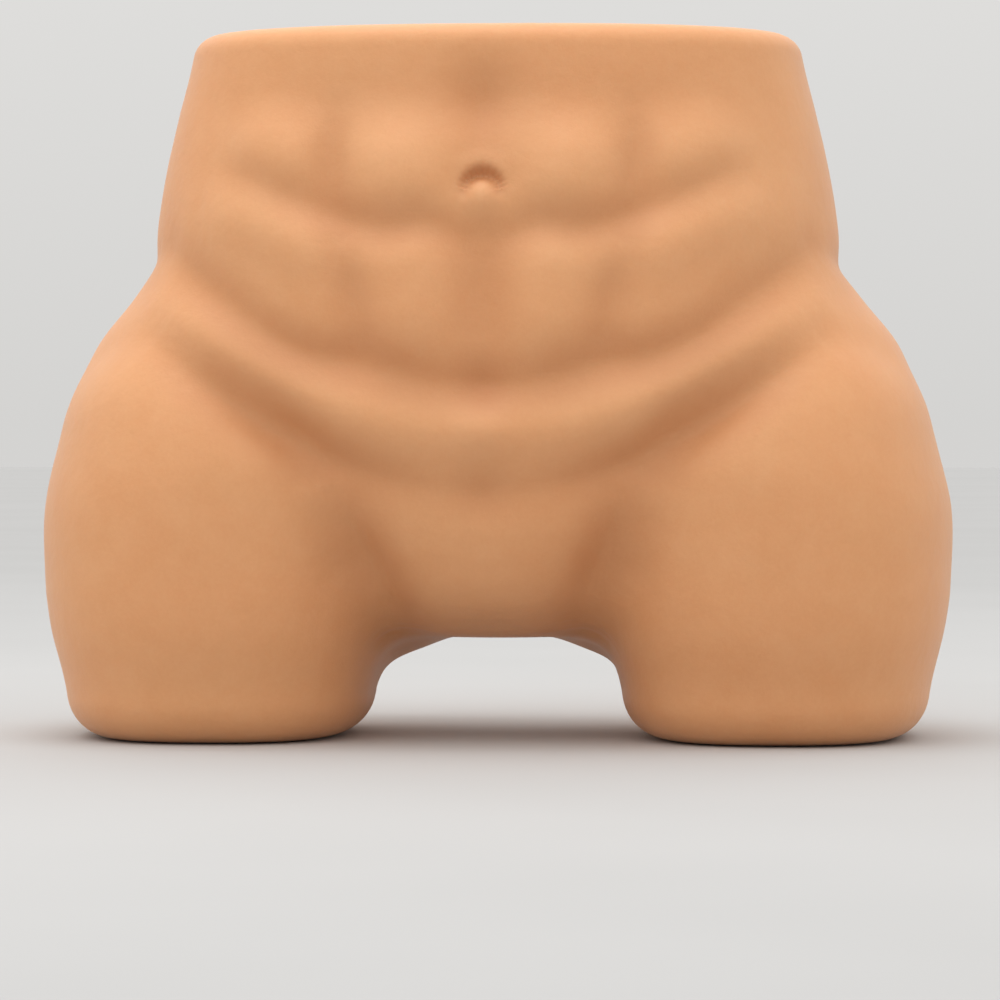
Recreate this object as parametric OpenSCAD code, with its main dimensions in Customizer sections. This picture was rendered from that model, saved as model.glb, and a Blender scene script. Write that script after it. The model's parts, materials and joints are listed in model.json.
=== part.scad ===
// Lower-torso mannequin: a soft cast skin over a split foam core and a welded steel frame.
// The torso stands on its two thigh bases, its front faces -Y and +Z is up.

/* [Body] */
// Height from the thigh bases to the waist cut
body_height = 308; // [296:1:322]
// Width across the hips at their widest
hip_width = 400; // [388:1:416]
// Twice the front or back reach that the section shares are counted from
body_depth = 232; // [224:1:244]
// Distance between the middles of the two thigh bases
stance = 248; // [245:1:251]
// Squareness of every section: 2 is an ellipse, more is boxier
section_power = 2.4; // [2.2:0.1:2.8]

/* [Skin] */
// Thickness of the cast skin
skin_wall = 18; // [16:1:20]
// Width of the skin's rim around the glued waist cap
cap_rim = 14; // [12:1:15]
// Distance from the thigh's wall to the glued base in its rounded end
base_rim = 24; // [23:1:26]
// Thickness of the glued caps
cap_thickness = 10; // [8:1:12]
// How far a cap stands proud of the skin's rim
cap_proud = 0.5; // [0.3:0.1:1]

/* [Frame] */
// Outer diameter of the steel tubes
tube_d = 32; // [28:1:36]
// Wall of the steel tubes
tube_wall = 2.5; // [1.5:0.5:4]
// Height of the rectangular pelvis bar
bar_height = 50; // [40:1:56]
// Depth of the rectangular pelvis bar, front to back
bar_depth = 30; // [24:1:36]
// Wall of the pelvis bar
bar_wall = 3; // [2:0.5:4]
// Height of the pelvis bar's middle above the floor
bar_z = 118; // [112:1:124]
// Thickness of the welded flanges
flange_t = 6; // [5:1:8]
// Thickness of the screwed-on plates
plate_t = 4; // [4:0.5:5]
// How far the frame stands behind the line of the body's sides
frame_y = 8; // [4:1:12]

/* [Screws] */
// Thread diameter of the countersunk screws
screw_d = 6; // [5:1:6]
// Length of the countersunk screws
screw_length = 10; // [9:1:10]
// Number of screws in each plate
screw_count = 4; // [3:1:6]

/* [Hidden] */

skin_colour = "#E3AC7C";
cap_colour = "#D39A6B";
foam_colour = "#E9DDB8";
steel_colour = "#9EA3A8";
plate_colour = "#B9BCC0";
screw_colour = "#D6D8DA";
plug_colour = "#26282B";

ring_points = 48;      // points round each section
slab = 0.6;            // thickness of the slices that are hulled together
glue_gap = 0.4;        // glue line between the skin's cavity and the foam
frame_gap = 0.2;       // room for each steel piece in the foam
weld_gap = 0.02;       // clearance where round pieces are welded or screwed in
round_fn = 64;

half_width = hip_width / 2;
half_depth = body_depth / 2;

// Trunk sections, from the crotch up to the waist cut:
// height, half width, front reach and back reach, as shares of the driving sizes
trunk = [
    [0.143, 0.250, 0.330, 0.470],
    [0.179, 0.475, 0.540, 0.690],
    [0.244, 0.700, 0.700, 0.840],
    [0.325, 0.840, 0.800, 0.930],
    [0.422, 0.890, 0.860, 0.970],
    [0.519, 0.900, 0.880, 0.960],
    [0.581, 0.860, 0.890, 0.920],
    [0.623, 0.805, 0.885, 0.880],
    [0.659, 0.775, 0.880, 0.840],
    [0.705, 0.757, 0.870, 0.790],
    [0.779, 0.740, 0.850, 0.745],
    [0.883, 0.705, 0.810, 0.725],
    [0.974, 0.670, 0.760, 0.715],
    [1.000, 0.630, 0.690, 0.655]
];
// Thigh sections, from the base up to where the thigh ends inside the trunk:
// height, sideways shift of the middle, half width, front reach and back reach
thigh = [
    [0.000,  0.000, 0.2425, 0.543, 0.603],
    [0.008,  0.000, 0.2910, 0.627, 0.687],
    [0.020,  0.000, 0.3140, 0.666, 0.727],
    [0.040,  0.000, 0.3345, 0.702, 0.762],
    [0.065,  0.000, 0.3425, 0.716, 0.776],
    [0.107, -0.002, 0.3575, 0.758, 0.830],
    [0.146, -0.005, 0.3730, 0.795, 0.890],
    [0.244, -0.013, 0.3900, 0.830, 0.965],
    [0.325, -0.025, 0.4030, 0.840, 1.005],
    [0.422, -0.065, 0.4100, 0.830, 1.000],
    [0.487, -0.083, 0.4000, 0.800, 0.970],
    [0.536, -0.110, 0.3750, 0.760, 0.940],
    [0.617, -0.170, 0.3000, 0.650, 0.830]
];
thigh_wall_section = 4;   // the section just above the rounded end
// Each buttock is an egg shape: its middle and its radii, sideways, backwards and
// upwards, as shares of the half width, half depth and height
seat_middle = [0.290, 0.360, 0.364];
seat_radii = [0.345, 0.730, 0.262];
seat_points = 50;   // an odd half of this puts a ring of points on the egg's widest line
// Moves the body forward, so that the origin is midway between belly and buttocks
body_y = half_depth * (max([for (s = trunk) s[2]]) - seat_middle[1] - seat_radii[1]) / 2;
wall_lift_from = 0.422;   // below this share of the height the cavity's floor is lifted
wall_lift_full = 0.244;   // by the full wall from here down

waist_z = body_height;
split_y = body_y + frame_y;   // the plane of the frame, where the foam halves meet
cap_under_z = waist_z - cap_thickness;
flange_top_z = cap_under_z - plate_t;
spine_top_z = flange_top_z - flange_t;
bar_top_z = bar_z + bar_height / 2;
bar_under_z = bar_z - bar_height / 2;
foot_plate_z = cap_thickness;
foot_flange_z = foot_plate_z + plate_t;
post_foot_z = foot_flange_z + flange_t;
post_x = stance / 2 - 1;
bar_length = 2 * (post_x + tube_d / 2 + 12);
gusset_run = 40;
gusset_rise = 50;
gusset_t = 5;
plug_lip = 2;
plug_depth = 12;

spine_flange_d = 90;
spine_screws_r = 33;
foot_flange_d = 82;
foot_plate_d = 88;
foot_screws_r = 30;
waist_plate_size = [170, 96];
waist_plate_corner = 14;

screw_head_d = 2 * screw_d;
screw_head_t = 3.2;
socket_af = 4;
socket_depth = 2;

// ---- sections ----

function signed_power(v, p) = sign(v) * pow(abs(v), p);

function outline(w, f, b) = [
    for (i = [0 : ring_points - 1])
        let (a = 360 * i / ring_points, c = cos(a), s = sin(a), p = 2 / section_power)
        [w * signed_power(c, p), (s < 0 ? f : b) * signed_power(s, p)]
];

// A section in millimetres: height, middle, half width, front reach, back reach
function trunk_sections() = [
    for (s = trunk) [s[0] * body_height, 0, s[1] * half_width, s[2] * half_depth, s[3] * half_depth]
];
function thigh_sections(side) = [
    for (s = thigh) [
        s[0] * body_height, side * (stance / 2 + s[1] * half_width),
        s[2] * half_width, s[3] * half_depth, s[4] * half_depth
    ]
];

function lifted(z) =
    let (from = wall_lift_from * body_height, full = wall_lift_full * body_height)
    z + skin_wall * min(1, max(0, (from - z) / (from - full)));

// The same sections taken in by an amount, for the cavity and for the foam
function taken_in(sections, by, lift) = [
    for (s = sections) [lift ? lifted(s[0]) : s[0], s[1], s[2] - by, s[3] - by, s[4] - by]
];

module slice(s)
    translate([s[1], body_y, s[0] - slab / 2])
        linear_extrude(slab)
            polygon(outline(s[2], s[3], s[4]));

module loft(sections)
    for (i = [0 : len(sections) - 2])
        hull() {
            slice(sections[i]);
            slice(sections[i + 1]);
        }

module slab_between(z0, z1)
    translate([-hip_width, -body_depth, z0])
        cube([2 * hip_width, 2 * body_depth, z1 - z0]);

module seat_form(side, by)
    translate([
        side * seat_middle[0] * half_width,
        body_y + seat_middle[1] * half_depth,
        seat_middle[2] * body_height
    ])
        scale([
            seat_radii[0] * half_width - by,
            seat_radii[1] * half_depth - by,
            seat_radii[2] * body_height - by
        ])
            rotate([0, 0, 180 / seat_points])
                sphere(r = 1, $fn = seat_points);

module outer_body() {
    loft(trunk_sections());
    for (side = [-1, 1]) {
        loft(thigh_sections(side));
        seat_form(side, 0);
    }
}

// The space inside the skin, between the caps, taken in by a further amount
module inner_body(extra)
    intersection() {
        union() {
            loft(taken_in(trunk_sections(), skin_wall + extra, true));
            for (side = [-1, 1]) {
                loft(taken_in(thigh_sections(side), skin_wall + extra, false));
                seat_form(side, skin_wall + extra);
            }
        }
        slab_between(cap_thickness, cap_under_z);
    }

// ---- skin and caps ----

function base_section(side) = thigh_sections(side)[thigh_wall_section];
function waist_section() = trunk_sections()[len(trunk) - 2];

module cap_shape(s, rim, z0, z1)
    translate([s[1], body_y, z0])
        linear_extrude(z1 - z0)
            polygon(outline(s[2] - rim, s[3] - rim, s[4] - rim));

module skin()
    color(skin_colour)
        difference() {
            intersection() {
                outer_body();
                slab_between(cap_proud, waist_z - cap_proud);
            }
            inner_body(0);
            cap_shape(waist_section(), cap_rim - glue_gap / 2, cap_under_z - 0.1, waist_z + 1);
            for (side = [-1, 1])
                cap_shape(base_section(side), base_rim - glue_gap / 2, -1, cap_thickness + 0.1);
        }

module waist_cap()
    color(cap_colour) cap_shape(waist_section(), cap_rim, cap_under_z, waist_z);

module thigh_base(side)
    color(cap_colour) cap_shape(base_section(side), base_rim, 0, cap_thickness);

// ---- foam core ----

module in_frame(x = 0) translate([x, split_y, 0]) children();

module rod(d, z0, z1)
    translate([0, 0, z0]) cylinder(d = d, h = z1 - z0, $fn = round_fn);

module rounded_plate(size, corner, z0, z1, grow)
    translate([0, 0, z0])
        linear_extrude(z1 - z0)
            hull()
                for (x = [-1, 1], y = [-1, 1])
                    translate([x * (size[0] / 2 - corner), y * (size[1] / 2 - corner)])
                        circle(r = corner + grow, $fn = round_fn);

module gusset_outline(grow)
    offset(delta = grow)
        polygon([
            [tube_d / 2, bar_top_z],
            [tube_d / 2 + gusset_run, bar_top_z],
            [tube_d / 2, bar_top_z + gusset_rise]
        ]);

// All the steel, grown by the room that the foam leaves for it
module frame_space(g) {
    in_frame() {
        rod(tube_d + 2 * g, bar_top_z - g, spine_top_z + g);
        rod(spine_flange_d + 2 * g, spine_top_z - g, flange_top_z + g);
        rounded_plate(waist_plate_size, waist_plate_corner, flange_top_z - g, cap_under_z + 1, g);
        translate([-bar_length / 2 - plug_lip - g, -bar_depth / 2 - g, bar_under_z - g])
            cube([bar_length + 2 * plug_lip + 2 * g, bar_depth + 2 * g, bar_height + 2 * g]);
        for (side = [-1, 1]) {
            mirror([side < 0 ? 1 : 0, 0, 0])
                rotate([90, 0, 0])
                    linear_extrude(gusset_t + 2 * g, center = true)
                        gusset_outline(g);
            translate([side * post_x, 0, 0]) {
                rod(tube_d + 2 * g, post_foot_z - g, bar_under_z + g);
                rod(foot_flange_d + 2 * g, foot_flange_z - g, post_foot_z + g);
                rod(foot_plate_d + 2 * g, foot_plate_z - 1, foot_flange_z + g);
            }
        }
    }
}

module core_half(front)
    color(foam_colour)
        difference() {
            inner_body(glue_gap);
            frame_space(frame_gap);
            translate([-hip_width, split_y + (front ? -frame_gap / 2 : frame_gap / 2 - body_depth), -1])
                cube([2 * hip_width, body_depth, body_height + 2]);
        }

// ---- steel frame ----

module ring_of_screws(r)
    for (i = [0 : screw_count - 1])
        rotate([0, 0, 360 * (i + 0.5) / screw_count])
            translate([r, 0, 0])
                children();

module tube(z0, z1)
    difference() {
        rod(tube_d, z0, z1);
        rod(tube_d - 2 * tube_wall, z0 - 1, z1 + 1);
    }

module spine_tube()
    color(steel_colour) in_frame() tube(bar_top_z, spine_top_z);

module flange(d, z0, holes_r)
    difference() {
        rod(d, z0, z0 + flange_t);
        ring_of_screws(holes_r) rod(screw_d + 2 * weld_gap, z0 - 1, z0 + flange_t + 1);
    }

module spine_flange()
    color(steel_colour) in_frame() flange(spine_flange_d, spine_top_z, spine_screws_r);

module spine_gussets()
    color(steel_colour)
        in_frame()
            for (side = [0, 1])
                mirror([side, 0, 0])
                    rotate([90, 0, 0])
                        linear_extrude(gusset_t, center = true)
                            polygon([
                                [tube_d / 2 + weld_gap, bar_top_z],
                                [tube_d / 2 + gusset_run, bar_top_z],
                                [tube_d / 2 + weld_gap, bar_top_z + gusset_rise]
                            ]);

module pelvis_bar()
    color(steel_colour)
        in_frame()
            difference() {
                translate([-bar_length / 2, -bar_depth / 2, bar_under_z])
                    cube([bar_length, bar_depth, bar_height]);
                translate([-bar_length / 2 - 1, -bar_depth / 2 + bar_wall, bar_under_z + bar_wall])
                    cube([bar_length + 2, bar_depth - 2 * bar_wall, bar_height - 2 * bar_wall]);
            }

module bar_plug(side)
    color(plug_colour)
        in_frame()
            mirror([side < 0 ? 1 : 0, 0, 0]) {
                translate([bar_length / 2, -bar_depth / 2, bar_under_z])
                    cube([plug_lip, bar_depth, bar_height]);
                translate([
                    bar_length / 2 - plug_depth,
                    -bar_depth / 2 + bar_wall + weld_gap,
                    bar_under_z + bar_wall + weld_gap
                ])
                    cube([
                        plug_depth + plug_lip,
                        bar_depth - 2 * bar_wall - 2 * weld_gap,
                        bar_height - 2 * bar_wall - 2 * weld_gap
                    ]);
            }

module thigh_post(side)
    color(steel_colour) in_frame(side * post_x) tube(post_foot_z, bar_under_z);

module foot_flange(side)
    color(steel_colour) in_frame(side * post_x) flange(foot_flange_d, foot_flange_z, foot_screws_r);

// A screw with its head's top face at z = 0, pointing down
module countersunk_screw()
    difference() {
        union() {
            translate([0, 0, -screw_head_t])
                cylinder(d1 = screw_d, d2 = screw_head_d, h = screw_head_t, $fn = round_fn);
            rod(screw_d, -screw_length, -screw_head_t);
        }
        translate([0, 0, -socket_depth])
            cylinder(d = socket_af / cos(30), h = socket_depth + 1, $fn = 6);
    }

// The hole that such a screw sits in
module screw_seat()
    union() {
        translate([0, 0, -screw_head_t])
            cylinder(
                d1 = screw_d + 2 * weld_gap, d2 = screw_head_d + 2 * weld_gap,
                h = screw_head_t, $fn = round_fn
            );
        rod(screw_d + 2 * weld_gap, -screw_length, -screw_head_t);
        rod(screw_head_d + 2 * weld_gap, 0, 1);
    }

module waist_plate()
    color(plate_colour)
        in_frame()
            difference() {
                rounded_plate(waist_plate_size, waist_plate_corner, flange_top_z, cap_under_z, 0);
                translate([0, 0, cap_under_z]) ring_of_screws(spine_screws_r) screw_seat();
            }

module waist_screws()
    color(screw_colour)
        in_frame()
            translate([0, 0, cap_under_z])
                ring_of_screws(spine_screws_r)
                    countersunk_screw();

module thigh_plate(side)
    color(plate_colour)
        in_frame(side * post_x)
            difference() {
                rod(foot_plate_d, foot_plate_z, foot_flange_z);
                translate([0, 0, foot_plate_z])
                    mirror([0, 0, 1])
                        ring_of_screws(foot_screws_r)
                            screw_seat();
            }

module thigh_screws(side)
    color(screw_colour)
        in_frame(side * post_x)
            translate([0, 0, foot_plate_z])
                mirror([0, 0, 1])
                    ring_of_screws(foot_screws_r)
                        countersunk_screw();

skin();
waist_cap();
thigh_base(1);  // thigh_base_left
thigh_base(-1);  // thigh_base_right
core_half(true);  // core_front
core_half(false);  // core_back
spine_tube();
spine_flange();
spine_gussets();
waist_plate();
waist_screws();
pelvis_bar();
bar_plug(1);  // bar_plug_left
bar_plug(-1);  // bar_plug_right
thigh_post(1);  // thigh_post_left
thigh_post(-1);  // thigh_post_right
foot_flange(1);  // foot_flange_left
foot_flange(-1);  // foot_flange_right
thigh_plate(1);  // thigh_plate_left
thigh_plate(-1);  // thigh_plate_right
thigh_screws(1);  // thigh_screws_left
thigh_screws(-1);  // thigh_screws_right
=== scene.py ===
import json
import math

import bpy
import numpy as np
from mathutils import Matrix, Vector
from mathutils.bvhtree import BVHTree


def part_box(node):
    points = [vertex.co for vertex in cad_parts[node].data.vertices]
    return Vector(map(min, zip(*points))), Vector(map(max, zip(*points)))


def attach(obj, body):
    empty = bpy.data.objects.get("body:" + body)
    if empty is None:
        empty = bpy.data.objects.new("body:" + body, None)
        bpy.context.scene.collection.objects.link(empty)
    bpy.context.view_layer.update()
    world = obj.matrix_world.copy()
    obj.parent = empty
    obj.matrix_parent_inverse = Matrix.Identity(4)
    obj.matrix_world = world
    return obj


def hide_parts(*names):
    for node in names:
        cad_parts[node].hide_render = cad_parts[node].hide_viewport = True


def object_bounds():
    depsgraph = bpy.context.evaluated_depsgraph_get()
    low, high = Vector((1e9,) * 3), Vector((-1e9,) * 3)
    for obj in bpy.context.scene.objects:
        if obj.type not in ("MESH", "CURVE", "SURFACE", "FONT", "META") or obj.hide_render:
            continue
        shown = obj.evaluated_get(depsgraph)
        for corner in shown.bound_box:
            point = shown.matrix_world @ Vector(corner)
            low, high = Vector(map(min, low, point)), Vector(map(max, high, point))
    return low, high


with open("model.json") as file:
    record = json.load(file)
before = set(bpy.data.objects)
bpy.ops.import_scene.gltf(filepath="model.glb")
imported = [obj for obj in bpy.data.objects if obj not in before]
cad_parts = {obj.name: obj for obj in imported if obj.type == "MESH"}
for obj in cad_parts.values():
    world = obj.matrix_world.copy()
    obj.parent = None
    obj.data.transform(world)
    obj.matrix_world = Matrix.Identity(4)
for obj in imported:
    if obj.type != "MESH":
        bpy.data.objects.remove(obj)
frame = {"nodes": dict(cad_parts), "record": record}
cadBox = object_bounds()
mm = 0.001

# the driving sizes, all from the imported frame
mounts = {mount["name"]: mount["pos_m"] for mount in frame["record"]["mounts"]}
topZ = cadBox[1].z
halfWide = (cadBox[1].x - cadBox[0].x) / 2
midY = mounts["waist_top"][1]          # the waist's middle, from front to back
thighX = mounts["thigh_rest_left"][0]  # each thigh's middle, from side to side
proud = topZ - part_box("skin")[1].z     # how far the caps stand out of the skin

print("camera")
camera = {
    "distance": 2.0,
    "azimuth": 4.0,
    "height": 0.138,
    "pitch": 0.975,
    "yaw": 0.025,
    "lens": 162.9,
    "sensor": 36,
    "nearClip": 0.05,
}


def makeCamera():
    turn = math.radians(camera["azimuth"])
    place = (
        camera["distance"] * math.sin(turn),
        midY - camera["distance"] * math.cos(turn),
        camera["height"],
    )
    tilt = math.radians(90 - camera["pitch"])
    yaw = math.radians(camera["azimuth"] - camera["yaw"])
    bpy.ops.object.camera_add(location=place, rotation=(tilt, 0, yaw))
    made = bpy.context.object
    made.name = "viewCamera"
    made.data.lens = camera["lens"]
    made.data.sensor_width = camera["sensor"]
    made.data.clip_start = camera["nearClip"]
    bpy.context.scene.camera = made


makeCamera()

# ---- hand tools ----


def deselectAll():
    bpy.ops.object.select_all(action="DESELECT")


def pick(piece):
    # the only selected object, and the active one
    deselectAll()
    piece.select_set(True)
    bpy.context.view_layer.objects.active = piece


def finishModifier(piece, kind, **settings):
    pick(piece)
    modifier = piece.modifiers.new(kind.lower(), kind)
    for setting, value in settings.items():
        setattr(modifier, setting, value)
    bpy.ops.object.modifier_apply(modifier=modifier.name)


def inEditMode(piece, chosen, mode="VERT"):
    # opens the piece with only the chosen vertices, edges or faces selected
    pick(piece)
    bpy.ops.object.mode_set(mode="EDIT")
    bpy.ops.mesh.select_mode(type=mode)
    bpy.ops.mesh.select_all(action="DESELECT")
    bpy.ops.object.mode_set(mode="OBJECT")
    parts = {"VERT": "vertices", "EDGE": "edges", "FACE": "polygons"}[mode]
    getattr(piece.data, parts).foreach_set("select", chosen)
    bpy.ops.object.mode_set(mode="EDIT")


def backToObject():
    bpy.ops.object.mode_set(mode="OBJECT")


def readPoints(piece, what="co"):
    points = np.empty(len(piece.data.vertices) * 3)
    piece.data.vertices.foreach_get(what, points)
    return points.reshape(-1, 3)


def writePoints(piece, points):
    piece.data.vertices.foreach_set("co", points.ravel())
    piece.data.update()


def joined(pieces):
    deselectAll()
    for piece in pieces:
        piece.select_set(True)
    bpy.context.view_layer.objects.active = pieces[0]
    bpy.ops.object.join()
    return pieces[0]


def cutAway(piece, cutter):
    finishModifier(piece, "BOOLEAN", operation="DIFFERENCE", solver="MANIFOLD", object=cutter)
    bpy.data.objects.remove(cutter)


# ---- the body's form ----

print("body form")
form = {
    "squareness": 2.4,   # 2 is a plain oval
    "ringPoints": 96,
    "ringStep": 6 * mm,
    "voxel": 5.0 * mm,
    "softening": 14,
    "smoothFactor": 0.5,
    "baseSlimming": 1.5 * mm,   # each thigh's outer side is drawn in by twice this at its base
    "slimTop": 66 * mm,
    "slimFoot": 12 * mm,
    "skinWall": 17.6 * mm,
}
# shares of the height, half width and half depth: height, half width, front reach, back reach
trunkShares = [
    (0.143, 0.250, 0.330, 0.470),
    (0.179, 0.475, 0.540, 0.690),
    (0.244, 0.700, 0.700, 0.840),
    (0.325, 0.840, 0.800, 0.930),
    (0.422, 0.890, 0.860, 0.970),
    (0.519, 0.900, 0.880, 0.960),
    (0.581, 0.860, 0.890, 0.920),
    (0.623, 0.805, 0.885, 0.880),
    (0.659, 0.775, 0.880, 0.840),
    (0.705, 0.757, 0.870, 0.790),
    (0.779, 0.740, 0.850, 0.745),
    (0.883, 0.705, 0.810, 0.725),
    (0.974, 0.670, 0.760, 0.715),
    (1.080, 0.655, 0.750, 0.705),
]
# height, sideways shift of the middle, half width, front reach, back reach
thighShares = [
    (-0.080, 0.000, 0.3425, 0.716, 0.776),
    (0.040, 0.000, 0.3425, 0.716, 0.776),
    (0.065, 0.000, 0.3430, 0.718, 0.778),
    (0.107, -0.002, 0.3575, 0.758, 0.830),
    (0.146, -0.005, 0.373, 0.795, 0.890),
    (0.244, -0.013, 0.390, 0.830, 0.965),
    (0.325, -0.025, 0.403, 0.840, 1.005),
    (0.422, -0.065, 0.410, 0.830, 1.000),
    (0.487, -0.083, 0.400, 0.800, 0.970),
    (0.536, -0.110, 0.375, 0.760, 0.940),
    (0.617, -0.170, 0.300, 0.650, 0.830),
]

# each buttock is an egg shape, in shares of the half width, half depth and height
buttock = {
    "middle": (0.290, 0.360, 0.364),
    "radii": (0.345, 0.730, 0.262),
    "segments": 48,
    "rings": 32,
}
deepest = max(front for height, half, front, back in trunkShares) + buttock["middle"][1] + buttock["radii"][1]
halfDeep = (cadBox[1].y - cadBox[0].y) / deepest


def trunkRings():
    return [(z * topZ, 0, w * halfWide, f * halfDeep, b * halfDeep) for z, w, f, b in trunkShares]


def thighRings(side):
    return [
        (z * topZ, side * (thighX + shift * halfWide), w * halfWide, f * halfDeep, b * halfDeep)
        for z, shift, w, f, b in thighShares
    ]


def slimmed(rings, side):
    # draws the thigh's outer side in towards its base, and leaves its inner side
    drawn = []
    for z, middle, half, *reaches in rings:
        share = min(1, max(0, (form["slimTop"] - z) / (form["slimTop"] - form["slimFoot"])))
        by = form["baseSlimming"] * share * share * (3 - 2 * share)
        drawn.append((z, middle - side * by, half - by, *reaches))
    return drawn


def smoothCurve(knots, values, at):
    # a cubic through the values, with each slope taken from the neighbours
    slopes = np.gradient(values, knots, axis=0)
    first = np.clip(np.searchsorted(knots, at, side="right") - 1, 0, len(knots) - 2)
    run = (knots[first + 1] - knots[first])[:, None]
    t = (at - knots[first])[:, None] / run
    return (
        (2 * t**3 - 3 * t**2 + 1) * values[first]
        + (t**3 - 2 * t**2 + t) * run * slopes[first]
        + (3 * t**2 - 2 * t**3) * values[first + 1]
        + (t**3 - t**2) * run * slopes[first + 1]
    )


def moreRings(rings):
    rings = np.array(rings)
    count = math.ceil((rings[-1, 0] - rings[0, 0]) / form["ringStep"])
    heights = np.linspace(rings[0, 0], rings[-1, 0], count + 1)
    return np.column_stack([heights, smoothCurve(rings[:, 0], rings[:, 1:], heights)])


def signedPower(value, power):
    return math.copysign(abs(value) ** power, value)


def ringPoint(ring, angle, takenIn=0.0):
    # a point of a ring's squarish oval: ring is height, middle, half width, front and back reach
    height, middle, half, front, back = ring
    power = 2 / form["squareness"]
    reach = front if math.sin(angle) < 0 else back
    across = (half - takenIn) * signedPower(math.cos(angle), power)
    return middle + across, midY + (reach - takenIn) * signedPower(math.sin(angle), power), height


def loftedForm(name, rings, takenIn=0.0):
    # a stack of rings: a disc is extruded once for each, and each takes its own outline
    deselectAll()
    bpy.ops.mesh.primitive_circle_add(vertices=form["ringPoints"], radius=1, fill_type="NGON")
    made = bpy.context.object
    made.name = name
    bpy.ops.object.mode_set(mode="EDIT")
    for step in range(len(rings) - 1):
        bpy.ops.mesh.extrude_region_move(TRANSFORM_OT_translate={"value": (0, 0, 1)})
    backToObject()
    for vertex in made.data.vertices:
        angle = math.atan2(vertex.co.y, vertex.co.x)
        vertex.co = ringPoint(rings[round(vertex.co.z)], angle, takenIn)
    inEditMode(made, [True] * len(made.data.polygons), "FACE")
    bpy.ops.mesh.normals_make_consistent(inside=False)
    backToObject()
    return made


def buttockForm(side, takenIn=0.0):
    across, back, up = buttock["middle"]
    wide, deep, high = buttock["radii"]
    deselectAll()
    bpy.ops.mesh.primitive_uv_sphere_add(
        segments=buttock["segments"],
        ring_count=buttock["rings"],
        radius=1,
        location=(side * across * halfWide, midY + back * halfDeep, up * topZ),
        scale=(wide * halfWide - takenIn, deep * halfDeep - takenIn, high * topZ - takenIn),
    )
    made = bpy.context.object
    bpy.ops.object.transform_apply(location=True, rotation=True, scale=True)
    return made


def bodyForm():
    parts = [loftedForm("bodySkin", moreRings(trunkRings()))]
    for side in (1, -1):
        parts.append(loftedForm("thigh", slimmed(moreRings(thighRings(side)), side)))
        parts.append(buttockForm(side))
    body = joined(parts)
    body.data.remesh_voxel_size = form["voxel"]
    pick(body)
    bpy.ops.object.voxel_remesh()
    finishModifier(body, "SMOOTH", factor=form["smoothFactor"], iterations=form["softening"])
    finishModifier(body, "SUBSURF", levels=1, render_levels=1)
    return body


bodySkin = bodyForm()
print("  body faces", len(bodySkin.data.polygons))

# ---- muscles and folds ----

print("muscles")
# each stroke: reach in mm, sharpness of its slope (2 is soft, 1.2 is a crease),
# and points of (across, height, lift) in mm; a negative lift is a groove, and the other side is mirrored
frontStrokes = {
    "midlineAbove": (9, 2.0, [(0, 282, -0.6), (0, 268, -1.8), (0, 256, -1.4)]),
    "midlineBelow": (12, 2.0, [(0, 213, -2.4), (0, 198, -4.2), (0, 176, -4.0), (0, 160, -1.6)]),
    "upperHollow": (16, 2.0, [(116, 275, -1.2), (90, 275, -2.4), (58, 275, -2.8),
                              (26, 276, -3.0), (0, 276, -3.2)]),
    "upperBelly": (17, 2.2, [(37, 247, 4.8), (36, 243, 4.8)]),
    "upperFlank": (17, 2.2, [(93, 256, 3.4), (87, 252, 3.4)]),
    "upperSideFold": (8, 2.0, [(64, 270, -0.8), (65, 248, -3.0), (63, 230, -1.6)]),
    "lowerSideFold": (9, 2.0, [(62, 212, -1.4), (57, 198, -3.2), (52, 178, -2.4)]),
    "foldA": (9, 1.8, [(0, 211, -0.6), (12, 217, -3.0), (26, 222, -4.4), (40, 221, -4.6),
                       (62, 225, -3.8), (92, 238, -2.8), (108, 245, -1.2), (116, 248, -0.4)]),
    "ridgeA": (16, 2.0, [(124, 227, 1.5), (106, 225, 4.4), (90, 220, 5.2), (74, 211, 5.0), (64, 205, 3.0)]),
    "lowerBelly": (18, 2.0, [(32, 204, 4.0), (30, 187, 3.6)]),
    "foldB": (10, 1.7, [(138, 210, -1.4), (126, 200, -3.8), (112, 189, -5.4),
                        (88, 172, -7.0), (70, 165, -6.8), (52, 163, -6.4),
                        (30, 157, -5.4), (8, 153, -3.6), (0, 153, -3.6)]),
    "ridgeB": (13, 2.0, [(140, 189, 1.5), (112, 171, 4.2), (82, 155, 5.2),
                         (54, 142, 4.8), (22, 135, 3.6), (0, 136, 3.4)]),
    "groinFold": (11, 1.6, [(142, 173, -1.6), (128, 163, -5.0), (112, 152, -8.0), (84, 133, -10.5),
                            (66, 121, -8.6), (46, 114, -5.2), (24, 110, -3.0), (0, 108, -2.4)]),
    "thighCrease": (13, 1.8, [(64, 112, -1.0), (59, 98, -5.0), (54, 84, -8.0),
                              (48, 70, -8.5), (43, 57, -6.0), (40, 46, -3.0)]),
    "groinMound": (28, 2.0, [(0, 88, 4.5), (0, 74, 5.5)]),
    "thighFront": (44, 2.0, [(128, 112, 4.0), (122, 68, 2.0)]),
    "navelHollow": (10, 2.0, [(-7, 240, -1.2), (0, 245, -1.5), (7, 240, -1.2)]),
}
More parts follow.
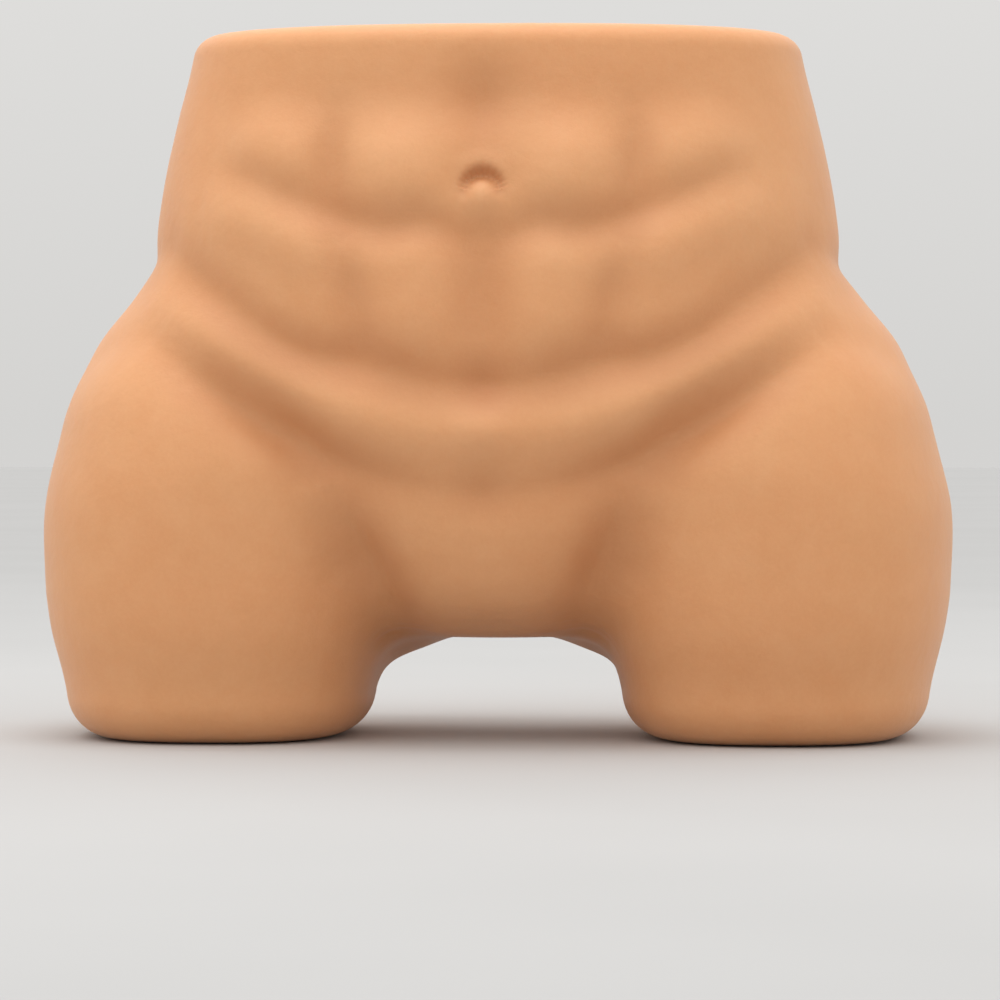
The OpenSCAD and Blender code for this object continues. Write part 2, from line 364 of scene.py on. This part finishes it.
backStrokes = {
    "spine": (12, 1.8, [(0, 296, -2.5), (0, 270, -5.0), (0, 235, -5.5), (0, 208, -3.0)]),
    "backMuscle": (20, 2.0, [(30, 302, 3.0), (30, 270, 4.2), (27, 235, 3.6), (22, 214, 1.5)]),
    "sacrum": (16, 2.0, [(0, 196, 1.5)]),
    "sacralDimple": (7, 2.0, [(36, 207, -3.0)]),
    "hipCrest": (13, 2.0, [(40, 212, -2.0), (75, 214, -3.0), (110, 210, -3.0), (140, 204, -1.5)]),
    "flank": (26, 2.0, [(96, 240, 4.0), (118, 232, 3.0)]),
    "cleftValley": (17, 2.0, [(0, 182, -1.0), (0, 158, -3.2), (0, 100, -4.0), (0, 72, -3.0)]),
    "cleft": (6, 1.5, [(0, 196, -0.3), (0, 184, -1.4), (0, 166, -3.8),
                       (0, 140, -5.6), (0, 100, -6.0), (0, 72, -5.0)]),
    "seatFold": (9, 1.7, [(22, 58, -4.0), (46, 48, -7.0), (78, 46, -7.0), (110, 53, -5.0), (142, 66, -2.0)]),
    "thighBack": (30, 2.0, [(112, 22, 2.5)]),
}
# points of (forward or back, height, lift), seen from the side
sideStrokes = {
    "hipHollow": (30, 2.0, [(34, 138, -6.0), (30, 120, -5.0)]),
    "hipBone": (26, 2.0, [(-6, 96, 0.8)]),
    "hipShoulder": (13, 2.0, [(-40, 166, 1.4), (-5, 166, 1.6), (30, 166, 1.4)]),
    "waistCrease": (9, 1.7, [(-62, 214, -0.8), (-30, 208, -3.0), (10, 207, -3.6), (50, 211, -2.4)]),
    "outerThigh": (14, 2.0, [(26, 90, -0.8), (20, 50, -1.4), (16, 20, -0.6)]),
}
navel = {
    "arch": (2.7, 2.0, [(-7.6, 235.5, -0.8), (-6.0, 239.8, -2.8), (-2.4, 242.4, -4.4),
                        (2.4, 242.4, -4.4), (6.0, 239.8, -2.8), (7.6, 235.5, -0.8)]),
    "lip": (7.0, 2.0, [(0, 232.5, 3.0)]),
    "hood": (5.0, 2.0, [(-5, 247, 0.7), (0, 249, 1.0), (5, 247, 0.7)]),
    "fineReach": 24 * mm,
    "fineShares": (1.0, 0.72),   # the skin is divided once within each share of the reach
    "height": 241 * mm,
}
sampleStep = 2.0   # mm between a stroke's samples
feltWithin = 3     # reaches from a stroke's line, past which it isn't felt
strokesForPaintedShading = []   # the strokes' points on the surface, kept for the painted shade in the grooves and the painted highlight on raised forms


def strokeCurve(points):
    points = np.array(points, float)
    if len(points) == 1:
        return points
    length = np.concatenate([[0], np.cumsum(np.linalg.norm(np.diff(points[:, :2], axis=0), axis=1))])
    count = max(2, math.ceil(length[-1] / sampleStep) + 1)
    return smoothCurve(length, points, np.linspace(0, length[-1], count))


def strokeOnSkin(tree, facing, points, mirrorSide):
    # casts a stroke's points onto the body, and keeps the lift of each
    found = []
    for across, height, lift in strokeCurve(points):
        if facing == "side":
            start = Vector((mirrorSide, across * mm, height * mm))
            aim = Vector((-mirrorSide, 0, 0))
        else:
            away = 1 if facing == "back" else -1
            start = Vector((mirrorSide * across * mm, away, height * mm))
            aim = Vector((0, -away, 0))
        hit = tree.ray_cast(start, aim)[0]
        if hit is not None:
            found.append((*hit, lift * mm))
    return np.array(found)


def strokeEffect(points, samples, reach, sharpness):
    # how far each point is lifted by the nearest sample of one stroke
    effect = np.zeros(len(points))
    limit = feltWithin * reach
    low = samples[:, :3].min(axis=0) - limit
    high = samples[:, :3].max(axis=0) + limit
    near = np.where(((points > low) & (points < high)).all(axis=1))[0]
    if not len(near):
        return effect
    gaps = np.linalg.norm(points[near, None, :] - samples[None, :, :3], axis=2)
    nearest = gaps.argmin(axis=1)
    gap = gaps[np.arange(len(near)), nearest]
    effect[near] = samples[nearest, 3] * np.exp(-((gap / reach) ** sharpness))
    return effect


def shapeSkin(body, strokes, facing):
    points = readPoints(body)
    normals = readPoints(body, "normal")
    tree = BVHTree.FromObject(body, bpy.context.evaluated_depsgraph_get())
    lift = np.zeros(len(points))
    for reach, sharpness, course in strokes.values():
        sides = (1, -1) if facing == "side" or any(abs(point[0]) > 0 for point in course) else (1,)
        if min(point[0] for point in course) < 0 and facing != "side":
            sides = (1,)   # already drawn right across
        for side in sides:
            samples = strokeOnSkin(tree, facing, course, side)
            lift += strokeEffect(points, samples, reach * mm, sharpness)
            # kept for the painted shade and painted highlight along this stroke
            strokesForPaintedShading.append((facing, samples, reach * mm, sharpness))
    writePoints(body, points + normals * lift[:, None])


def refineNavel(body):
    for share in navel["fineShares"]:
        centres = np.empty(len(body.data.polygons) * 3)
        body.data.polygons.foreach_get("center", centres)
        centres = centres.reshape(-1, 3)
        away = np.hypot(centres[:, 0], centres[:, 2] - navel["height"])
        near = (away < navel["fineReach"] * share) & (centres[:, 1] < midY)
        inEditMode(body, near, "FACE")
        bpy.ops.mesh.subdivide(number_cuts=1, smoothness=1.0)
        backToObject()


# boxes where the joined forms are eased into each other: half width, nearest and furthest from
# the middle, low and high, and how often the points are smoothed
beyondBody = 200 * mm
easedBoxes = {
    "crotch": (78 * mm, -beyondBody, beyondBody, 28 * mm, 70 * mm, 30),
    "seat": (150 * mm, 30 * mm, beyondBody, 66 * mm, 190 * mm, 70),
    "thighFoot": (220 * mm, -beyondBody, beyondBody, 21 * mm, 62 * mm, 25),
}


def easeForm(body, halfAcross, nearest, furthest, low, high, repeats):
    x, y, z = readPoints(body).T
    y = y - midY
    inEditMode(body, (np.abs(x) < halfAcross) & (y > nearest) & (y < furthest) & (z > low) & (z < high))
    bpy.ops.mesh.vertices_smooth(factor=form["smoothFactor"], repeat=repeats)
    backToObject()


bpy.context.view_layer.update()
for box in easedBoxes.values():
    easeForm(bodySkin, *box)
shapeSkin(bodySkin, frontStrokes, "front")
shapeSkin(bodySkin, backStrokes, "back")
shapeSkin(bodySkin, sideStrokes, "side")
finishModifier(bodySkin, "SMOOTH", factor=form["smoothFactor"], iterations=2)
refineNavel(bodySkin)
shapeSkin(bodySkin, {name: navel[name] for name in ("hood", "lip", "arch")}, "front")

# ---- the cut ends ----

print("cut ends")
cutEnds = {
    "waistRadius": 8.5 * mm,
    "thighRadius": 18.5 * mm,
    "pocketGap": 0.35 * mm,
    "lipRadius": 0.9 * mm,
    "faceInset": 0.6 * mm,
    "edgeMerge": 0.8 * mm,   # points of a bent edge that are closer than this become one
    "lipSegments": 3,
    "lipAngle": 60,          # edges sharper than this are lips
    "shadeAngle": 38,
}
# how near a flat face a point counts as lying on it
onFace = {"bent": 0.02 * mm, "end": 0.05 * mm, "lip": 0.1 * mm}


def roundOver(body, faceZ, radius, up):
    # the wall beyond the round's start is cut to the arc's length, and bent over inwards
    start = faceZ - up * radius
    cutZ = start + up * radius * math.pi / 2
    inEditMode(body, [True] * len(body.data.vertices))
    bpy.ops.mesh.bisect(plane_co=(0, 0, cutZ), plane_no=(0, 0, up), clear_outer=True)
    backToObject()
    points = readPoints(body)
    normals = readPoints(body, "normal")
    level = normals[:, :2] / np.maximum(np.linalg.norm(normals[:, :2], axis=1), 1e-6)[:, None]
    beyond = (points[:, 2] - start) * up
    bent = beyond > 0
    angle = beyond[bent] / radius
    points[bent, :2] -= level[bent] * (radius * (1 - np.cos(angle)))[:, None]
    points[bent, 2] = start + up * radius * np.sin(angle)
    writePoints(body, points)
    inEditMode(body, np.abs(points[:, 2] - faceZ) < onFace["bent"])
    bpy.ops.mesh.remove_doubles(threshold=cutEnds["edgeMerge"])
    backToObject()


def closeEnd(body, faceZ, wanted):
    # fills the open edge of one cut end with a flat face, and insets it once
    points = readPoints(body)
    flat = (np.abs(points[:, 2] - faceZ) < onFace["end"]) & wanted(points)
    points[flat, 2] = faceZ
    writePoints(body, points)
    inEditMode(body, flat)
    bpy.ops.mesh.edge_face_add()
    bpy.ops.mesh.inset(thickness=cutEnds["faceInset"])
    backToObject()


roundOver(bodySkin, topZ - proud, cutEnds["waistRadius"], 1)
roundOver(bodySkin, proud, cutEnds["thighRadius"], -1)
closeEnd(bodySkin, topZ - proud, lambda points: points[:, 2] > 0)
for side in (1, -1):
    closeEnd(bodySkin, proud, lambda points: points[:, 0] * side > 0)

# ---- the hollow for the core, and the caps' pockets ----

print("hollow")
hollow = {
    "liftNone": 0.422,      # below this share of the height the hollow's floor is raised
    "liftFull": 0.244,      # by the whole wall from this share down
    "overlap": 0.2 * mm,    # how far the hollow reaches into the caps' pockets
    "overshoot": 20 * mm,   # how far the pockets' cutters pass the cut faces
    "merge": 0.02 * mm,
    "sliver": 0.01 * mm,
}


def capRing(node, z, grow=0.0):
    # the outline of a cap's CAD solid, as a ring at a height
    low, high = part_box(node)
    middle = (low.x + high.x) / 2
    half = (high.x - low.x) / 2
    return z, middle, half + grow, midY - low.y + grow, high.y - midY + grow


def liftedRings(rings):
    # the hollow's floor is raised over the crotch, so that the wall under it stays as thick
    full = hollow["liftFull"] * topZ
    none = hollow["liftNone"] * topZ
    raised = []
    for z, *rest in rings:
        share = min(1, max(0, (none - z) / (none - full)))
        raised.append((z + form["skinWall"] * share, *rest))
    return raised


def clipped(rings, low, high):
    # the same stack, ended at two heights
    rings = np.array(rings)
    inside = rings[(rings[:, 0] > low) & (rings[:, 0] < high)]
    heights = [max(low, rings[0, 0]), *inside[:, 0], min(high, rings[-1, 0])]
    columns = [np.interp(heights, rings[:, 0], rings[:, column]) for column in range(1, 5)]
    return list(zip(heights, *columns))


def makeHollow(body):
    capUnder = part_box("waist_cap")[0].z
    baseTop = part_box("thigh_base_left")[1].z
    reachIn = hollow["overlap"]
    past = hollow["overshoot"]
    wall = form["skinWall"]
    trunk = clipped(liftedRings(trunkRings()), 0, capUnder + reachIn)
    cutAway(body, loftedForm("trunkHollow", trunk, wall))
    for side in (1, -1):
        cutAway(body, loftedForm("thighHollow", clipped(thighRings(side), baseTop - reachIn, topZ), wall))
        cutAway(body, buttockForm(side, wall))
    gap = cutEnds["pocketGap"]
    cutAway(body, loftedForm("pocket", [capRing("waist_cap", z, gap) for z in (capUnder, topZ + past)]))
    for node in ("thigh_base_left", "thigh_base_right"):
        cutAway(body, loftedForm("pocket", [capRing(node, z, gap) for z in (-past, baseTop)]))


def softenLips(body):
    # rounds the sharp edges where the flat faces meet the pockets
    inEditMode(body, [False] * len(body.data.edges), "EDGE")
    bpy.ops.mesh.edges_select_sharp(sharpness=math.radians(cutEnds["lipAngle"]))
    backToObject()
    points = readPoints(body)
    low = np.abs(points[:, 2] - proud) < onFace["lip"]
    high = np.abs(points[:, 2] - topZ + proud) < onFace["lip"]
    flat = low | high
    ends = np.empty(len(body.data.edges) * 2, int)
    body.data.edges.foreach_get("vertices", ends)
    ends = ends.reshape(-1, 2)
    sharp = np.empty(len(body.data.edges), bool)
    body.data.edges.foreach_get("select", sharp)
    inEditMode(body, sharp & flat[ends].all(axis=1), "EDGE")
    bpy.ops.mesh.bevel(offset=cutEnds["lipRadius"], segments=cutEnds["lipSegments"], profile=0.5)
    backToObject()


makeHollow(bodySkin)
softenLips(bodySkin)
inEditMode(bodySkin, [True] * len(bodySkin.data.vertices))
bpy.ops.mesh.remove_doubles(threshold=hollow["merge"])
bpy.ops.mesh.dissolve_degenerate(threshold=hollow["sliver"])
backToObject()
pick(bodySkin)
bpy.ops.object.shade_smooth_by_angle(angle=math.radians(cutEnds["shadeAngle"]))
print("  skin faces", len(bodySkin.data.polygons))

# ---- the caps ----

print("caps")
cap = {
    "edgeRadius": 1.6 * mm,
    "lineInset": 7 * mm,
    "lineWidth": 1.4 * mm,
    "lineDepth": 0.7 * mm,
    "edgeSegments": 4,
    "shadeAngle": 30,
}


def capPiece(name, node, outward):
    # a pad with rounded edges and one moulded line round its outer face
    low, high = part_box(node)
    made = loftedForm(name, [capRing(node, z) for z in (low.z, high.z)])
    faceZ = high.z if outward > 0 else low.z
    heights = np.array([face.center.z for face in made.data.polygons])
    inEditMode(made, np.abs(heights - faceZ) < 0.01 * mm, "FACE")
    bpy.ops.mesh.region_to_loop()
    bpy.ops.mesh.bevel(offset=cap["edgeRadius"], segments=cap["edgeSegments"], profile=0.5)
    backToObject()
    heights = np.array([face.center.z for face in made.data.polygons])
    inEditMode(made, np.abs(heights - faceZ) < 0.001 * mm, "FACE")
    bpy.ops.mesh.inset(thickness=cap["lineInset"])
    for depth in (-cap["lineDepth"], cap["lineDepth"]):
        bpy.ops.mesh.inset(thickness=cap["lineWidth"] / 2)
        bpy.ops.transform.translate(value=(0, 0, outward * depth))
    backToObject()
    pick(made)
    bpy.ops.object.shade_smooth_by_angle(angle=math.radians(cap["shadeAngle"]))
    return made


waistCapPad = capPiece("waistCapPad", "waist_cap", 1)
thighPads = [
    capPiece("thighPadLeft", "thigh_base_left", -1),
    capPiece("thighPadRight", "thigh_base_right", -1),
]

# ---- materials ----

print("materials")


class Value:
    # a socket that can be used in sums
    def __init__(self, finish, socket):
        self.finish = finish
        self.socket = socket

    def sum(self, operation, first, second):
        return self.finish.node("ShaderNodeMath", {"operation": operation}, {0: first, 1: second})

    def __add__(self, other):
        return self.sum("ADD", self, other)

    def __radd__(self, other):
        return self.sum("ADD", other, self)

    def __mul__(self, other):
        return self.sum("MULTIPLY", self, other)


class Finish:
    # one material, and the nodes it is made of
    def __init__(self, name, **constants):
        self.material = bpy.data.materials.new(name)
        self.material.use_nodes = True
        self.tree = self.material.node_tree
        self.shader = self.tree.nodes["Principled BSDF"]
        for socket, value in constants.items():
            self.set(socket, value)

    def set(self, socket, value):
        self.feed(self.shader.inputs[socket], value)

    def feed(self, socket, value):
        if isinstance(value, Value):
            self.tree.links.new(value.socket, socket)
        else:
            socket.default_value = value

    def node(self, kind, settings=None, inputs=None, output=0):
        made = self.tree.nodes.new(kind)
        for setting, value in (settings or {}).items():
            if setting == "stops":
                while len(made.color_ramp.elements) < len(value):
                    made.color_ramp.elements.new(0.5)
                for element, (place, colour) in zip(made.color_ramp.elements, value):
                    element.position = place
                    element.color = (*colour, 1)
            else:
                setattr(made, setting, value)
        for socket, value in (inputs or {}).items():
            self.feed(made.inputs[socket], value)
        return Value(self, made.outputs[output])

    def place(self):
        return self.node("ShaderNodeTexCoord", output="Object")

    def noise(self, scale, detail=2.0, roughness=0.5):
        values = {"Vector": self.place(), "Scale": scale, "Detail": detail, "Roughness": roughness}
        return self.node("ShaderNodeTexNoise", None, values, "Fac")

    def cells(self, scale):
        values = {"Vector": self.place(), "Scale": scale}
        return self.node("ShaderNodeTexVoronoi", None, values, "Distance")

    def attribute(self, name):
        return self.node("ShaderNodeAttribute", {"attribute_name": name}, output="Fac")

    def spread(self, value, low, high):
        # the range from low to high becomes 0 to 1, and is held at its ends
        values = {"Value": value, "From Min": low, "From Max": high}
        return self.node("ShaderNodeMapRange", {"clamp": True}, values)

    def blend(self, share, first, second):
        values = {0: share, 6: self.colour(first), 7: self.colour(second)}
        return self.node("ShaderNodeMix", {"data_type": "RGBA"}, values, 2)

    def colour(self, value):
        return value if isinstance(value, Value) else (*value, 1)

    def bump(self, height, depth, strength=1.0, under=None):
        values = {"Height": height, "Distance": depth, "Strength": strength}
        if under is not None:
            values["Normal"] = under
        return self.node("ShaderNodeBump", None, values)


def use(piece, finish):
    piece.data.materials.clear()
    piece.data.materials.append(finish.material)


skinLook = {
    "base": (0.735, 0.350, 0.152),
    # the paler blotches and specks, and also the painted highlight on the forms that the strokes raised
    "pale": (0.86, 0.485, 0.255),
    "warm": (0.72, 0.290, 0.112),
    # painted shade: the dark colour mixed into the grooves and creases that the strokes pushed in
    "deep": (0.40, 0.130, 0.038),
    "broadShare": 0.28,
    "blotchShare": 0.14,
    "speckShare": 0.08,
    # how much painted highlight the raised forms get
    "raisedShare": 0.35,
    # how much painted shade the grooves and creases get
    "sunkenShare": 0.75,
    "roughness": 0.46,
    "poreDepth": 0.06 * mm,
    "grainDepth": 0.25 * mm,
}


def skinFinish():
    finish = Finish("castElastomer")
    finish.set("Subsurface Weight", 0.12)
    finish.set("Subsurface Radius", (1.0, 0.45, 0.25))
    finish.set("Subsurface Scale", 0.006)
    finish.set("IOR", 1.42)
    finish.set("Sheen Weight", 0.10)
    finish.set("Sheen Roughness", 0.5)
    broad = finish.spread(finish.noise(11, 3), 0.35, 0.65)
    blotch = finish.spread(finish.noise(55, 4, 0.6), 0.38, 0.66)
    speck = finish.spread(finish.noise(620, 3, 0.6), 0.40, 0.64)
    colour = finish.blend(broad * skinLook["broadShare"], skinLook["base"], skinLook["warm"])
    colour = finish.blend(blotch * skinLook["blotchShare"], colour, skinLook["pale"])
    colour = finish.blend(speck * skinLook["speckShare"], colour, skinLook["pale"])
    # painted highlight on what the strokes raised, and painted shade in the grooves and creases they pushed
    # in
    for name, tint in (("raised", "pale"), ("sunken", "deep")):
        share = finish.attribute(name) * skinLook[name + "Share"]
        colour = finish.blend(share, colour, skinLook[tint])
    finish.set("Base Color", colour)
    finish.set("Roughness", skinLook["roughness"] + blotch * 0.06 + speck * 0.05)
    pores = finish.bump(finish.noise(1500, 3, 0.6), skinLook["poreDepth"])
    finish.set("Normal", finish.bump(finish.noise(190, 3, 0.5), skinLook["grainDepth"], 1.0, pores))
    return finish


capTint = {
    "base": (0.70, 0.36, 0.17),
    "blotch": (0.62, 0.29, 0.13),
    "speck": (0.82, 0.50, 0.28),
    "roughness": 0.58,
    "grainDepth": 0.18 * mm,
}


def capFinish():
    finish = Finish("capElastomer")
    finish.set("IOR", 1.42)
    finish.set("Subsurface Weight", 0.06)
    finish.set("Subsurface Scale", 0.004)
    blotch = finish.spread(finish.noise(40, 4, 0.6), 0.35, 0.68)
    speck = finish.spread(finish.noise(700, 3, 0.6), 0.40, 0.64)
    colour = finish.blend(blotch * 0.4, capTint["base"], capTint["blotch"])
    colour = finish.blend(speck * 0.15, colour, capTint["speck"])
    finish.set("Base Color", colour)
    finish.set("Roughness", capTint["roughness"] + blotch * 0.08 + speck * 0.06)
    finish.set("Normal", finish.bump(finish.noise(900, 4, 0.65), capTint["grainDepth"]))
    return finish


foamTint = {
    "pale": (0.82, 0.70, 0.44),
    "patch": (0.74, 0.59, 0.33),
    "cell": (0.60, 0.46, 0.25),
    "roughness": 0.86,
    "cellDepth": 0.6 * mm,
}


def foamFinish():
    finish = Finish("rigidFoam")
    cells = finish.cells(420)
    patches = finish.spread(finish.noise(26, 4), 0.35, 0.65)
    colour = finish.blend(patches, foamTint["pale"], foamTint["patch"])
    colour = finish.blend(finish.spread(cells, 0.0, 0.5) * 0.35, foamTint["cell"], colour)
    finish.set("Base Color", colour)
    finish.set("Roughness", foamTint["roughness"] + patches * 0.06)
    finish.set("Normal", finish.bump(cells, foamTint["cellDepth"], 0.8))
    return finish


def steelFinish(name, light, dark, roughness, metallic, grain):
    finish = Finish(name)
    finish.set("Metallic", metallic)
    wear = finish.spread(finish.noise(35, 5, 0.6), 0.42, 0.66)
    fine = finish.spread(finish.noise(grain, 4, 0.6), 0.35, 0.65)
    colour = finish.blend(wear, light, dark)
    finish.set("Base Color", finish.blend(fine * 0.2, colour, dark))
    finish.set("Roughness", roughness + wear * 0.12 + fine * 0.05)
    finish.set("Normal", finish.bump(finish.noise(grain, 3, 0.6), 0.00008))
    return finish


# strengths of the painted shade and painted highlight along the strokes' slopes, the most either may be, and
# the share given to each facing
paintedShadingDepth = {"sunken": 1.3, "raised": 2.0, "most": 0.62}
paintedShadingShare = {"front": 1, "back": 0.45, "side": 0.5}


def eased(amount):
    # rises with the amount, and levels off at the most that the painted shade and painted highlight may be
    return paintedShadingDepth["most"] * (1 - np.exp(-np.clip(amount, 0, None) / paintedShadingDepth["most"]))


def paintShadeAndHighlight(body):
    # painted shade and highlight: the steeper a stroke pushed the skin in, the darker the shade painted
    # there, and what it raised gets a paler painted highlight
    points = readPoints(body)
    sunken = np.zeros(len(points))
    raised = np.zeros(len(points))
    for facing, samples, reach, sharpness in strokesForPaintedShading:
        slope = strokeEffect(points, samples, reach * 1.05, sharpness) / reach * paintedShadingShare[facing]
        sunken += eased(-slope * paintedShadingDepth["sunken"])
        raised += eased(slope * paintedShadingDepth["raised"])
    # stored as the skin's painted shade and painted highlight layers
    for name, values in (("sunken", sunken), ("raised", raised)):
        layer = body.data.attributes.new(name, "FLOAT", "POINT")
        layer.data.foreach_set("value", np.clip(values, 0, 1).astype(np.float32))


# painted shade in the grooves and painted highlight on the raised forms
paintShadeAndHighlight(bodySkin)
use(bodySkin, skinFinish())
capLook = capFinish()
for pad in (waistCapPad, *thighPads):
    use(pad, capLook)

# light and dark tint, roughness, metallic and the grain's scale
frameLooks = {
    "frame_steel": ("paintedSteel", (0.33, 0.35, 0.37), (0.24, 0.25, 0.27), 0.38, 0.3, 500),
    "plate_steel": ("plateSteel", (0.58, 0.59, 0.61), (0.46, 0.47, 0.50), 0.30, 1.0, 900),
    "screw_steel": ("zincSteel", (0.70, 0.71, 0.72), (0.56, 0.57, 0.60), 0.22, 1.0, 1200),
    "plug_plastic": ("plugPlastic", (0.035, 0.035, 0.040), (0.022, 0.022, 0.026), 0.55, 0.0, 800),
}
slotLooks = {"core_foam": foamFinish()}
for slot, values in frameLooks.items():
    slotLooks[slot] = steelFinish(*values)
for part in frame["record"]["subparts"]:
    look = slotLooks.get(part["material_slot"])
    if look is not None:
        node = frame["nodes"][part["node"]]
        if not node.material_slots:
            node.data.materials.append(look.material)
        for materialSlot in node.material_slots:
            materialSlot.material = look.material

print("riding on the frame")
standFor = [
    (bodySkin, "skin", "skin_elastomer"),
    (waistCapPad, "waist_cap", "cap_elastomer"),
    (thighPads[0], "thigh_base_left", "cap_elastomer"),
    (thighPads[1], "thigh_base_right", "cap_elastomer"),
]
for piece, node, slotName in standFor:
    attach(piece, "torso")
    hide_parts(node)

# ---- studio ----

print("studio")
studio = {
    "floorHalf": 12.0,
    "floorTints": ((0.52, 0.52, 0.52), (0.50, 0.50, 0.50)),
    "roomTint": (1.0, 0.99, 0.97, 1),
    "zenith": 1.35,
    "zenithFrom": 0.9,
    "horizon": 0.66,
}
# place, what it is aimed at, size, power
lights = {
    "frontLight": ((-0.40, -0.80, 1.0), (0, 0, 0.20), (0.9, 0.7), 1.3),
    "topLight": ((-0.10, -0.12, 1.15), (0, 0, 0.2), (0.7, 0.5), 2.6),
    "backLight": ((-0.20, 1.1, 1.5), (0, 0, 0.17), (1.2, 0.8), 2.6),
}


def softLight(name, place, aim, size, power):
    way = Vector(aim) - Vector(place)
    bpy.ops.object.light_add(type="AREA", location=place)
    light = bpy.context.object
    light.name = name
    light.rotation_euler = way.to_track_quat("-Z", "Y").to_euler()
    light.data.shape = "RECTANGLE"
    light.data.size, light.data.size_y = size
    light.data.energy = power
    light.visible_camera = False


def makeStudio():
    deselectAll()
    bpy.ops.mesh.primitive_plane_add(size=2 * studio["floorHalf"], location=(0, 0, 0))
    floor = bpy.context.object
    floor.name = "studioFloor"
    look = Finish("paleFloor", Roughness=0.9)
    patches = look.spread(look.noise(3, 2), 0.3, 0.7)
    look.set("Base Color", look.blend(patches, *studio["floorTints"]))
    use(floor, look)
    for name, values in lights.items():
        softLight(name, *values)
    # a pale room, brighter overhead
    world = bpy.data.worlds.new("studioRoom")
    bpy.context.scene.world = world
    world.use_nodes = True
    nodes = world.node_tree.nodes
    links = world.node_tree.links
    way = nodes.new("ShaderNodeTexCoord")
    parts = nodes.new("ShaderNodeSeparateXYZ")
    rise = nodes.new("ShaderNodeMapRange")
    rise.inputs["From Min"].default_value = 0.0
    rise.inputs["From Max"].default_value = studio["zenithFrom"]
    rise.inputs["To Min"].default_value = studio["horizon"]
    rise.inputs["To Max"].default_value = studio["zenith"]
    backdrop = nodes["Background"]
    backdrop.inputs["Color"].default_value = studio["roomTint"]
    links.new(way.outputs["Generated"], parts.inputs[0])
    links.new(parts.outputs["Z"], rise.inputs["Value"])
    links.new(rise.outputs[0], backdrop.inputs["Strength"])
    bpy.context.scene.view_settings.view_transform = "Standard"


makeStudio()
